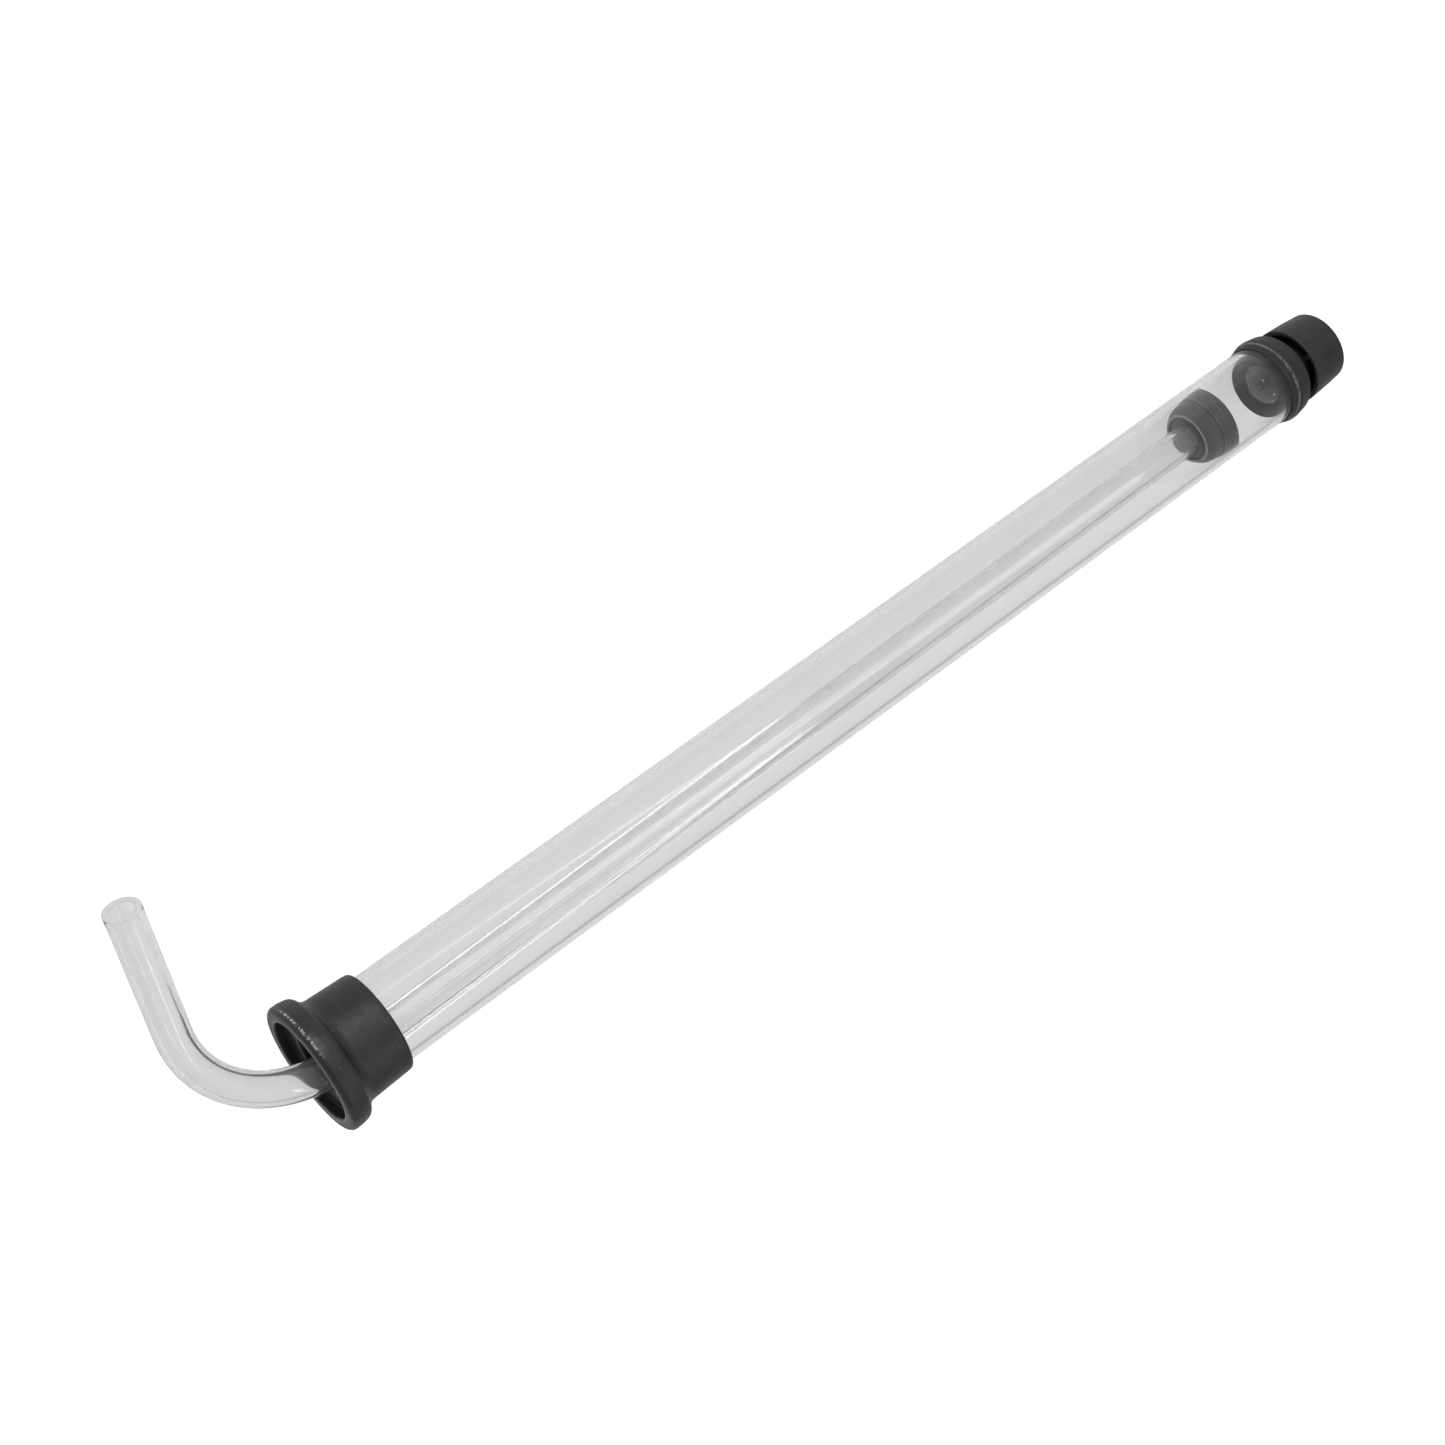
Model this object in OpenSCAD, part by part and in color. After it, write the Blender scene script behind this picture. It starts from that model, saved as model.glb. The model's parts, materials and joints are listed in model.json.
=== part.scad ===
// Hand-pump siphon: a clear pump tube with a bent racking cane that works as the plunger.
// The part lies on its side. +X runs along the tube from the foot to the outlet, +Z is up,
// and the origin is the centre of the foot's flat end face.
// All sizes are in millimetres.

/* [Pump tube] */
// Outside diameter of the pump tube
tube_od = 25.4; // [24:0.1:27]
// Wall thickness of the pump tube
tube_wall = 2.0; // [1.6:0.1:2.4]
// Length of the pump tube
tube_len = 357.6; // [250:0.1:600]

/* [Racking cane] */
// Outside diameter of the cane
cane_od = 9.525; // [9:0.005:10]
// Bore of the cane
cane_bore = 6.35; // [5:0.05:7]
// Centreline radius of the bend
bend_radius = 36; // [30:1:45]
// Angle of the bend
bend_angle = 95; // [85:1:100]
// Straight length past the bend, where the hose goes on
leg_len = 38.5; // [20:0.5:80]
// How far the cane sits off the tube's axis where the bend begins
cane_offset = 4.0; // [3.5:0.1:4.1]

/* [Piston] */
// Distance from the foot end of the tube to the piston's far face, fully pushed in
piston_gap = 29.3; // [15:0.1:60]
// Length of the rubber seal along the tube
seal_len = 11.0; // [10.5:0.1:14]
// Gap on the radius between the seal and the tube's bore
seal_clearance = 0.06; // [0.03:0.01:0.1]

/* [Guide collar] */
// Length of the collar over all
collar_len = 21.8; // [21:0.1:30]
// Radius of the sleeve at its tube end
sleeve_r = 14.5; // [14:0.05:14.6]
// Largest radius of the lip
lip_r = 18.5; // [18:0.1:20]
// Radius of the recess inside the lip
recess_r = 14.6; // [14.2:0.1:14.8]
// Depth of the recess
recess_depth = 3.0; // [2:0.1:3.5]
// Radius of the hole that the cane runs through
guide_hole_r = 8.9; // [8.8:0.1:9.5]

/* [Foot] */
// Length of the foot cap
cap_len = 14.0; // [12:0.5:20]
// Radius of the foot cap at its mouth
cap_r = 12.25; // [11.8:0.05:12.6]
// Width of the open groove where liquid is drawn in
intake_gap = 3.9; // [2:0.1:5]
// Number of ribs that grip the neck inside the cap
rib_count = 4; // [3:1:6]
// Travel of the check valve's disc
valve_lift = 2.0; // [1:0.1:2.1]

/* [Hidden] */
$fn = 96;

tube_r = tube_od / 2;
tube_bore_r = tube_r - tube_wall;
cane_r = cane_od / 2;
cane_bore_r = cane_bore / 2;
edge = 0.3;            // small chamfer on moulded and cut edges
running = 0.05;        // gap on the radius between turning or sliding pieces
eps = 0.1;             // overlap that keeps cuts clean

// stations along X
floor_t = 2.1;         // thickness of the foot's floor
base_x = cap_len + intake_gap;
tube_x = base_x + floor_t;
tube_end = tube_x + tube_len;
web_t = 2.5;
collar_x = tube_end + web_t + recess_depth - collar_len;
collar_end = collar_x + collar_len;
seal_x = tube_x + piston_gap;
seal_end = seal_x + seal_len;

// piston hub
hub_r = 6.0;
hub_proud = 0.3;       // boss standing out of the seal's front face
rib_r = 8.0;           // rib that carries the seal
rib_x = seal_x + 4.7;
rib_t = 2.0;
flange_r = 8.0;         // small enough to stay hidden behind the seal
flange_t = 1.2;
seal_slack = 0.1;      // gap along X between the flange and the seal
socket_x = seal_x + 0.3;

// cane: it leans about the middle of the piston
pivot_x = seal_x + 5.2;
bend_x = collar_end - 11.2;
run_len = bend_x - pivot_x;
cane_lean = asin(cane_offset / run_len);
end_along = bend_radius * sin(bend_angle) + leg_len * cos(bend_angle);
end_across = bend_radius * (1 - cos(bend_angle)) + leg_len * sin(bend_angle);
leg_reach = end_across * cos(cane_lean) - (run_len + end_along) * sin(cane_lean);
rest_sink = 0.3;       // the table lies this much lower under the cane's end than under the lip
bend_draw = 0.04;      // bending draws the tube this much thinner on the radius
bend_lap = 0.2;        // length that the leg reaches back over the bend
leg_drop = asin((lip_r + rest_sink - cane_r) / leg_reach);

// foot
neck_r = 7.5;
neck_bore_r = 5.0;
neck_x = 4.5;
skirt_len = 6.7;        // over all, with the thin lip
skirt_lip = 2.5;        // length of the thin lip
skirt_r = 13.9;
seat_h = 5.2;
seat_w = 1.2;
disc_r = 6.6;
disc_rim_t = 0.9;
disc_t = 2.0;
disc_x = tube_x + seat_h;
stem_r = 1.25;
spider_r = 2.2;
spoke_w = 1.4;
head_r = 2.0;
head_t = 0.8;
head_x = disc_x + disc_t + valve_lift + 0.2;
barb_r = 1.9;
barb_t = 1.4;
cap_floor = 2.0;
cap_round = 0.9;
cap_end_r = 11.2;
cap_wall = 1.35;
rib_w = 1.6;

// points on an arc about (cx, cy), from angle a0 to a1 in n steps
function arc(cx, cy, r, a0, a1, n = 6) =
    [for (i = [0 : n]) let (a = a0 + (a1 - a0) * i / n) [cx + r * cos(a), cy + r * sin(a)]];

// a turned shape about the X axis: its outline is given as [x, radius] points
module turned(outline) {
    rotate([90, 0, 90]) rotate_extrude() polygon([for (p = outline) [p[1], p[0]]]);
}

// a rod along X with its near end at x
module rod_x(x, r, h) {
    translate([x, 0, 0]) rotate([0, 90, 0]) cylinder(r = r, h = h);
}

// the clear tube, with both ends cut square and lightly eased
module outer_tube() {
    color([0.86, 0.87, 0.87, 0.45]) turned([
        [tube_x, tube_bore_r + edge], [tube_x, tube_r - edge], [tube_x + edge, tube_r],
        [tube_end - edge, tube_r], [tube_end, tube_r - edge], [tube_end, tube_bore_r + edge],
        [tube_end - edge, tube_bore_r], [tube_x + edge, tube_bore_r]]);
}

// rubber collar: tapered sleeve, flare, rounded lip, and a web with the guide hole
module guide_collar() {
    sleeve_end_r = sleeve_r + 0.5;
    flare_x = collar_end - 9.6;
    flare = 4.2;
    nose_r = 1.6;
    heel_r = 2.0;
    heel_x = collar_end - 3.3;
    mouth_r = 0.6;
    web_x = tube_end;
    color([0.17, 0.17, 0.18]) turned(concat(
        [[collar_x, tube_r + edge], [collar_x, sleeve_r - 0.6], [collar_x + edge, sleeve_r - 0.2],
         [collar_x + 1.2, sleeve_r]],
        arc(flare_x - 0.6, sleeve_end_r + flare, flare, -90, -30),
        arc(heel_x, lip_r - heel_r, heel_r, 137, 90, 4),
        arc(collar_end - nose_r, lip_r - nose_r, nose_r, 80, 0, 8),
        arc(collar_end - mouth_r, recess_r + mouth_r, mouth_r, 0, -90, 4),
        [[collar_end - recess_depth, recess_r], [collar_end - recess_depth, guide_hole_r + edge],
         [collar_end - recess_depth - edge, guide_hole_r], [web_x + edge, guide_hole_r],
         [web_x, guide_hole_r + edge], [web_x, tube_r], [collar_x + edge, tube_r]]));
}

// the path of the cane, as a solid of the given radius that runs past both ends by spare;
// at the hose end the radius changes by mouth
module cane_path(r, mouth, spare = 0) {
    start = socket_x - pivot_x;
    leg_end = leg_len + spare;
    step = bend_lap / 2;
    rod_x(start - spare, r, run_len - start + spare);
    translate([run_len, 0, bend_radius]) {
        rotate([90, 0, 0]) rotate([0, 0, -90]) rotate_extrude(angle = bend_angle)
            translate([bend_radius, 0]) circle(r = r - bend_draw);
        rotate([0, -bend_angle, 0]) translate([0, 0, -bend_radius]) turned([
            [-bend_lap, 0], [-bend_lap, r - step], [-step, r],
            [leg_end - abs(mouth), r], [leg_end, r + mouth], [leg_end, 0]]);
    }
}

// puts the cane's own frame in place: leaning about the piston, its leg sloping down to the table
module cane_frame() {
    rotate([90 + leg_drop, 0, 0]) translate([pivot_x, 0, 0]) rotate([0, cane_lean, 0]) children();
}

// clear bent cane with an open end for the hose
module racking_cane() {
    color([0.86, 0.87, 0.87, 0.45]) cane_frame() difference() {
        cane_path(cane_r, -edge);
        cane_path(cane_bore_r, edge + eps, eps);
    }
}

// hub that holds the cane's end and turns inside the rubber seal
module piston_hub() {
    front = seal_end + hub_proud;
    back = seal_x - seal_slack - flange_t;
    color([0.22, 0.22, 0.23]) difference() {
        turned([
            [back, 0], [back, flange_r - edge], [back + edge, flange_r],
            [back + flange_t, flange_r], [back + flange_t, hub_r], [rib_x, hub_r],
            [rib_x, rib_r], [rib_x + rib_t, rib_r], [rib_x + rib_t, hub_r],
            [front - edge, hub_r], [front, hub_r - edge], [front, 0]]);
        cane_frame() rod_x(socket_x - pivot_x, cane_r, 2 * seal_len);
        cane_frame() rod_x(-seal_len, cane_bore_r, 2 * seal_len);
    }
}

// rubber seal: a sealing lip, a plain band and a tapered front
module piston_seal() {
    outer_r = tube_bore_r - seal_clearance;
    band_r = outer_r - 0.14;
    inner_r = hub_r + running;
    groove_r = rib_r + running;
    groove_end = rib_x + rib_t + running;
    nose_r = 7.2;
    round_x = seal_x + 8.9;
    recess = 0.9;
    color([0.2, 0.2, 0.21]) turned([
        [seal_x, inner_r], [seal_x, outer_r - edge], [seal_x + edge, outer_r],
        [seal_x + 2.2, outer_r], [seal_x + 2.5, band_r], [seal_x + 5.5, band_r - 0.2],
        [seal_x + 5.8, band_r - 0.7], [seal_x + 6.3, band_r - 0.7], [round_x, band_r - 1.0],
        [seal_end - 0.9, band_r - 1.9], [seal_end, nose_r + 0.8], [seal_end, nose_r],
        [seal_end - recess, nose_r - 0.3], [seal_end - recess, inner_r],
        [groove_end, inner_r], [groove_end, groove_r],
        [rib_x - running, groove_r], [rib_x - running, inner_r]]);
}

// foot: skirt over the tube, floor with four ports and the valve seat, and the intake neck
module foot_base() {
    skirt_end = tube_x + skirt_len;
    lip_x = skirt_end - skirt_lip;
    color([0.17, 0.17, 0.18]) difference() {
        union() {
            turned([
                [neck_x, neck_bore_r], [neck_x, neck_r - edge], [neck_x + edge, neck_r],
                [base_x, neck_r], [base_x, skirt_r - 1.4], [base_x + 0.3, skirt_r - 1.1],
                [base_x + 1.2, skirt_r - 0.55], [base_x + 2.8, skirt_r - 0.2], [base_x + 4.6, skirt_r],
                [lip_x - 0.8, skirt_r], [lip_x - 0.2, skirt_r - 0.2], [lip_x, tube_r + 0.5],
                [skirt_end - 0.3, tube_r + 0.4], [skirt_end, tube_r + 0.2],
                [skirt_end, tube_r + 0.1], [skirt_end - 0.1, tube_r],
                [tube_x, tube_r], [tube_x, neck_bore_r + seat_w + 0.6],
                [tube_x + 0.6, neck_bore_r + seat_w], [disc_x, neck_bore_r + seat_w],
                [disc_x, neck_bore_r]]);
            rod_x(base_x, spider_r, floor_t);
            for (i = [0 : 3]) rotate([90 * i, 0, 0])
                translate([base_x, -spoke_w / 2, 0]) cube([floor_t, spoke_w, neck_bore_r + 0.5]);
        }
        rod_x(base_x - eps, stem_r, floor_t + 2 * eps);
    }
}

// soft domed disc of the check valve, which lifts off its seat along the stem
module valve_disc() {
    rise = disc_t - disc_rim_t;
    hole_r = stem_r + 0.1;
    dome = [for (r = [disc_r - edge : -1.2 : hole_r]) [disc_x + disc_t - rise * pow(r / disc_r, 2), r]];
    color([0.3, 0.3, 0.31]) turned(concat(
        [[disc_x, hole_r], [disc_x, disc_r - edge], [disc_x + edge, disc_r],
         [disc_x + disc_rim_t - edge, disc_r]],
        dome, [[disc_x + disc_t, hole_r]]));
}

// push-in stem that keeps the disc in place
module valve_stem() {
    color([0.42, 0.42, 0.43]) turned([
        [base_x - barb_t, 0], [base_x - barb_t, stem_r], [base_x - edge, barb_r],
        [base_x, barb_r], [base_x, stem_r], [head_x, stem_r], [head_x, head_r],
        [head_x + head_t - 0.5, head_r], [head_x + head_t, head_r - 0.7], [head_x + head_t, 0]]);
}

// pull-off cap: a tapered cup whose ribs grip the neck and hold it off the cap's floor
module foot_cap() {
    color([0.19, 0.19, 0.2]) difference() {
        union() {
            turned(concat(
                [[0, 0]],
                arc(cap_round, cap_end_r - cap_round, cap_round, 180, 96, 6),
                [[cap_len * 0.4, cap_r - 0.52], [cap_len * 0.75, cap_r - 0.17],
                 [cap_len - 0.5, cap_r], [cap_len, cap_r - 0.3],
                 [cap_len, cap_r - cap_wall + edge], [cap_len - edge, cap_r - cap_wall],
                 [cap_floor, cap_end_r - cap_wall], [cap_floor, 0]]));
            for (i = [0 : rib_count - 1]) rotate([360 / rib_count * (i + 0.5), 0, 0])
                translate([cap_floor - eps, -rib_w / 2, 3])
                    cube([cap_len - cap_floor - 1, rib_w, cap_end_r - 3.1]);
        }
        rod_x(neck_x - 0.1, neck_r + running, cap_len);
    }
}

outer_tube();
guide_collar();
racking_cane();
piston_hub();
piston_seal();
foot_base();
valve_disc();
valve_stem();
foot_cap();
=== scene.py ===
"""Looks of the hand-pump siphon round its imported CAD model. In metres, +X from foot to outlet, +Z up."""
import json
from math import cos, pi, radians, sin, tan

import bmesh
import bpy
from mathutils import Matrix, Vector


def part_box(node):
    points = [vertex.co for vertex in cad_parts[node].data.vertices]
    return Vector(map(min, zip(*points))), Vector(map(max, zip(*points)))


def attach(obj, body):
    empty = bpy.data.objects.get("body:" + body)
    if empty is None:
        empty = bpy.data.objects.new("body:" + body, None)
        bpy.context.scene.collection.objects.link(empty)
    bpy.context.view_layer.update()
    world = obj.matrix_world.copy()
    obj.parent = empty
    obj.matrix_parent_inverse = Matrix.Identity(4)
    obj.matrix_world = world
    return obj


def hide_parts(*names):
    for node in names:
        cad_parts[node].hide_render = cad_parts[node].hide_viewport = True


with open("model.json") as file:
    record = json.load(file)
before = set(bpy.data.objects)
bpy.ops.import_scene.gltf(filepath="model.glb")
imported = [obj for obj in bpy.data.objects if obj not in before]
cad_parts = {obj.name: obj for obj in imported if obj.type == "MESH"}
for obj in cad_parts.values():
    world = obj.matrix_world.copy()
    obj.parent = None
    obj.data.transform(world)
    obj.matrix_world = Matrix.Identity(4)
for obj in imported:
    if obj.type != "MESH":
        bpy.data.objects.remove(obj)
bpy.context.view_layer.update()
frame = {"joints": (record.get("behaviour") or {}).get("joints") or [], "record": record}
record = frame["record"]

MM = 0.001

# ---------------------------------------------------------------- places and sizes from the frame
TUBE_LO, TUBE_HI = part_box("outer_tube")
COLLAR_LO, COLLAR_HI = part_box("guide_collar")
SEAL_LO, SEAL_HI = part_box("piston_seal")
HUB_LO, HUB_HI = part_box("piston_hub")
BASE_LO, BASE_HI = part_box("foot_base")
CAP_LO, CAP_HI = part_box("foot_cap")
DISC_LO, DISC_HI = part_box("valve_disc")
STEM_LO, STEM_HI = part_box("valve_stem")
MOUNTS = {m["name"]: m for m in record["mounts"]}
JOINTS = {j["name"]: j for j in frame["joints"]}
HOSE_END = MOUNTS["hose_end"]

# ---------------------------------------------------------------- sizes that several pieces share
SEAT = 0.03 * MM                # how far a pushed-on rubber part bites into the clear tube
TUBE_R = TUBE_HI.z
TUBE_WALL = 2.0 * MM
BORE_R = TUBE_R - TUBE_WALL
CANE_R = HOSE_END["dims"]["r_mm"] * MM
CANE_BORE_R = MOUNTS["outlet_bore"]["dims"]["r_mm"] * MM
SOCKET_X = SEAL_LO.x + 0.3 * MM     # the hub's step, where the cane's inner end stands
RECESS_R = 14.6 * MM            # the collar's open end
HUB_R = 6.0 * MM
GROOVE_X = SEAL_LO.x + 5.5 * MM     # the start of the seal's groove
NECK_R = 7.5 * MM               # the foot's neck, which the cap's ribs hold
NECK_BORE_R = 5.0 * MM
STEM_R = 1.25 * MM

# ---------------------------------------------------------------- mesh helpers
ON_AXIS = 1e-7                  # an outline point nearer than this to the axis is on it
FILLET_STEPS = 5
FILLET_SHARE = 0.49             # the most of a side that one fillet takes
FLAT_SUPPORT = 0.12 * MM        # from a fillet's end to the extra point that keeps the side flat
SHARP_ANGLE = 40                # degrees past which an edge is shaded sharp
BLOCK_STEPS = 3                 # steps across a block's rounded edge
ROUND_BEVEL = 0.5               # the profile of an edge rounded as an arc


def rounded(corners, steps):
    """Points of a closed outline whose corners (x, radius, fillet) are rounded, with a point either side."""
    points = []
    for i, (x, r, fillet) in enumerate(corners):
        here = Vector((x, r))
        before = Vector(corners[i - 1][:2]) - here
        after = Vector(corners[(i + 1) % len(corners)][:2]) - here
        if fillet <= 0:
            points.append(here)
            continue
        turn = before.angle(after)
        reach = min(fillet / tan(turn / 2), FILLET_SHARE * before.length, FILLET_SHARE * after.length)
        radius = reach * tan(turn / 2)
        first = here + before.normalized() * reach
        last = here + after.normalized() * reach
        middle = here + (before.normalized() + after.normalized()).normalized() * radius / sin(turn / 2)
        if before.length > 2 * reach + FLAT_SUPPORT:
            points.append(first + before.normalized() * FLAT_SUPPORT)
        start = first - middle
        end = last - middle
        sweep = start.angle(end)
        side = 1 if start.cross(end) > 0 else -1
        for k in range(steps + 1):
            t = side * sweep * k / steps
            arm = Vector((start.x * cos(t) - start.y * sin(t), start.x * sin(t) + start.y * cos(t)))
            points.append(middle + arm)
        if after.length > 2 * reach + FLAT_SUPPORT:
            points.append(last + after.normalized() * FLAT_SUPPORT)
    return points


def linked(name, data):
    """A new object in the scene for a mesh, a camera or a light."""
    thing = bpy.data.objects.new(name, data)
    bpy.context.scene.collection.objects.link(thing)
    return thing


def mesh_object(name, vertices, faces, sharp=SHARP_ANGLE):
    """A smooth-shaded object whose faces all look outwards."""
    mesh = bpy.data.meshes.new(name)
    mesh.from_pydata(vertices, [], faces)
    bm = bmesh.new()
    bm.from_mesh(mesh)
    bmesh.ops.recalc_face_normals(bm, faces=bm.faces)
    bm.to_mesh(mesh)
    bm.free()
    mesh.shade_smooth()
    mesh.set_sharp_from_angle(angle=radians(sharp))
    return linked(name, mesh)


def lathe(name, corners, segments, steps=FILLET_STEPS):
    """A piece turned about the X axis, from a closed outline of (x, radius, fillet) corners."""
    outline = rounded(corners, steps)
    on_axis = [p.y < ON_AXIS for p in outline]
    vertices = []
    rings = []
    for p, centred in zip(outline, on_axis):
        if centred:
            rings.append([len(vertices)] * segments)
            vertices.append((p.x, 0, 0))
            continue
        rings.append(list(range(len(vertices), len(vertices) + segments)))
        for k in range(segments):
            a = 2 * pi * k / segments
            vertices.append((p.x, p.y * cos(a), p.y * sin(a)))
    faces = []
    for i, ring in enumerate(rings):
        following = (i + 1) % len(rings)
        other = rings[following]
        if on_axis[i] and on_axis[following]:
            continue
        for k in range(segments):
            j = (k + 1) % segments
            face = [ring[k], ring[j], other[j], other[k]]
            faces.append([v for n, v in enumerate(face) if v not in face[:n]])
    return mesh_object(name, vertices, faces)


def block(name, low, high, bevel):
    """A box between two corners with rounded edges."""
    bm = bmesh.new()
    bmesh.ops.create_cube(bm, size=1)
    size = Vector(high) - Vector(low)
    middle = (Vector(high) + Vector(low)) / 2
    for v in bm.verts:
        v.co = Vector((v.co.x * size.x, v.co.y * size.y, v.co.z * size.z)) + middle
    edges = list(bm.edges)
    bmesh.ops.bevel(bm, geom=edges, offset=bevel, segments=BLOCK_STEPS, affect="EDGES", profile=ROUND_BEVEL)
    mesh = bpy.data.meshes.new(name)
    bm.to_mesh(mesh)
    bm.free()
    mesh.shade_smooth()
    return linked(name, mesh)


def turned(piece, angle):
    """The piece turned about the X axis."""
    piece.data.transform(Matrix.Rotation(angle, 4, "X"))
    return piece


def join(pieces):
    """Joins several objects into the first one."""
    bpy.ops.object.select_all(action="DESELECT")
    for piece in pieces:
        piece.select_set(True)
    bpy.context.view_layer.objects.active = pieces[0]
    bpy.ops.object.join()
    return pieces[0]


# ---------------------------------------------------------------- shader helpers
EDGE_RANGE = (0.53, 0.62)       # pointiness from where an edge starts to show to where it is fully worn
MIX_A = 6                       # a Mix node's sockets for colours
MIX_B = 7
MIX_RESULT = 2


def new_material(name):
    material = bpy.data.materials.new(name)
    material.use_nodes = True
    tree = material.node_tree
    return material, tree, tree.nodes["Principled BSDF"]


def object_coords(tree):
    return tree.nodes.new("ShaderNodeTexCoord").outputs["Object"]


def scaled(tree, vector, scale):
    """The coordinates stretched by a different factor along each axis."""
    node = tree.nodes.new("ShaderNodeVectorMath")
    node.operation = "MULTIPLY"
    node.inputs[1].default_value = scale
    tree.links.new(vector, node.inputs[0])
    return node.outputs["Vector"]


def noise_value(tree, vector, size, detail, rough):
    """Noise whose blotches are about as wide as size."""
    node = tree.nodes.new("ShaderNodeTexNoise")
    node.inputs["Scale"].default_value = 1 / size
    node.inputs["Detail"].default_value = detail
    node.inputs["Roughness"].default_value = rough
    tree.links.new(vector, node.inputs["Vector"])
    return node.outputs["Fac"]


def remap(tree, value, low, high, to_low=0.0, to_high=1.0):
    """Maps low..high of a value onto to_low..to_high, held at both ends."""
    node = tree.nodes.new("ShaderNodeMapRange")
    for socket, number in zip(("From Min", "From Max", "To Min", "To Max"), (low, high, to_low, to_high)):
        node.inputs[socket].default_value = number
    tree.links.new(value, node.inputs["Value"])
    return node.outputs["Result"]


def times(tree, a, b):
    """The product of two values, of which b may be a plain number."""
    node = tree.nodes.new("ShaderNodeMath")
    node.operation = "MULTIPLY"
    tree.links.new(a, node.inputs[0])
    if isinstance(b, float):
        node.inputs[1].default_value = b
    else:
        tree.links.new(b, node.inputs[1])
    return node.outputs["Value"]


def blend_colour(tree, mask, first, second):
    """first where the mask is 0, second where it is 1. Each is a colour or a socket."""
    node = tree.nodes.new("ShaderNodeMix")
    node.data_type = "RGBA"
    tree.links.new(mask, node.inputs["Factor"])
    for socket, colour in ((node.inputs[MIX_A], first), (node.inputs[MIX_B], second)):
        if isinstance(colour, tuple):
            socket.default_value = (*colour, 1)
        else:
            tree.links.new(colour, socket)
    return node.outputs[MIX_RESULT]


def bump(tree, height, distance, below=None):
    """Bumps as high as distance, on top of the bumps below."""
    node = tree.nodes.new("ShaderNodeBump")
    node.inputs["Distance"].default_value = distance
    tree.links.new(height, node.inputs["Height"])
    if below is not None:
        tree.links.new(below, node.inputs["Normal"])
    return node.outputs["Normal"]


def edge_mask(tree):
    """1 on convex edges and 0 on flats and hollows."""
    return remap(tree, tree.nodes.new("ShaderNodeNewGeometry").outputs["Pointiness"], *EDGE_RANGE)


def near_mask(tree, vector, at, inner, outer):
    """1 within inner of a place and 0 beyond outer."""
    node = tree.nodes.new("ShaderNodeVectorMath")
    node.operation = "DISTANCE"
    node.inputs[1].default_value = at
    tree.links.new(vector, node.inputs[0])
    return remap(tree, node.outputs["Value"], inner, outer, 1.0, 0.0)


def off_axis(tree, place):
    """The coordinates with X left out, so distances are measured square to the axis."""
    return scaled(tree, place, (0.0, 1.0, 1.0))


def ring_mask(tree, place, x, radius, inner, outer):
    """1 within inner of a ring about the X axis and 0 beyond outer."""
    split = tree.nodes.new("ShaderNodeSeparateXYZ")
    tree.links.new(place, split.inputs[0])
    from_axis = tree.nodes.new("ShaderNodeVectorMath")
    from_axis.operation = "LENGTH"
    tree.links.new(off_axis(tree, place), from_axis.inputs[0])
    pair = tree.nodes.new("ShaderNodeCombineXYZ")
    tree.links.new(split.outputs["X"], pair.inputs["X"])
    tree.links.new(from_axis.outputs["Value"], pair.inputs["Y"])
    return near_mask(tree, pair.outputs["Vector"], (x, radius, 0.0), inner, outer)


def paint_over(material, mask, colour):
    """Covers what the material's colour was where the mask is 1."""
    tree = material.node_tree
    base = tree.nodes["Principled BSDF"].inputs["Base Color"]
    before = base.links[0].from_socket
    tree.links.new(blend_colour(tree, mask, before, colour), base)


# ---------------------------------------------------------------- clear plastic
CLEAR_TINT = (0.99, 0.99, 0.992)
CLOUDED = 0.985                 # how much of the tint is left where the plastic is clouded
CLOUDS = (16 * MM, 2.0, 0.5)    # this and the other noises are (size, detail, roughness)
CLOUD_RANGE = (0.35, 0.7)       # this and the other ranges are the low and high end of a noise's use
STREAK_STRETCH = (9.0, 320.0, 320.0)    # per metre along X and across it, so the streaks run along the tube
STREAKS = (1.0, 2.0, 0.5)
STREAK_RANGE = (0.3, 0.75)
CLEAR_ROUGHNESS = (0.002, 0.02)
RIPPLE_STRETCH = (14.0, 70.0, 70.0)
RIPPLES = (1.0, 0.0, 0.5)
DEPTH_COLOUR = (0.5, 0.505, 0.51, 1)

SAW_STRETCH = (2600.0, 300.0, 300.0)
SAW_MARKS = (1.0, 3.0, 0.5)
SAW_DEPTH = 0.02 * MM
CUT_DARK = (0.5, 0.5, 0.51)
CUT_LIGHT = (0.6, 0.6, 0.6)
CUT_RANGE = (0.3, 0.7)
CUT_ROUGHNESS = (0.35, 0.6)


def clear_plastic(name, ior, clearness, density, ripple):
    """Clear plastic with drawn-in ripples along it, faint clouding, a few rubbed streaks and grey depth."""
    material, tree, shader = new_material(name)
    place = object_coords(tree)
    cloud = remap(tree, noise_value(tree, place, *CLOUDS), *CLOUD_RANGE)
    cloudy = tuple(CLOUDED * channel for channel in CLEAR_TINT)
    tree.links.new(blend_colour(tree, cloud, CLEAR_TINT, cloudy), shader.inputs["Base Color"])
    rubbed = noise_value(tree, scaled(tree, place, STREAK_STRETCH), *STREAKS)
    tree.links.new(remap(tree, rubbed, *STREAK_RANGE, *CLEAR_ROUGHNESS), shader.inputs["Roughness"])
    shader.inputs["IOR"].default_value = ior
    shader.inputs["Transmission Weight"].default_value = clearness
    wave = noise_value(tree, scaled(tree, place, RIPPLE_STRETCH), *RIPPLES)
    tree.links.new(bump(tree, wave, ripple), shader.inputs["Normal"])
    depth = tree.nodes.new("ShaderNodeVolumeAbsorption")
    depth.inputs["Color"].default_value = DEPTH_COLOUR
    depth.inputs["Density"].default_value = density
    tree.links.new(depth.outputs["Volume"], tree.nodes["Material Output"].inputs["Volume"])
    return material


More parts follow.
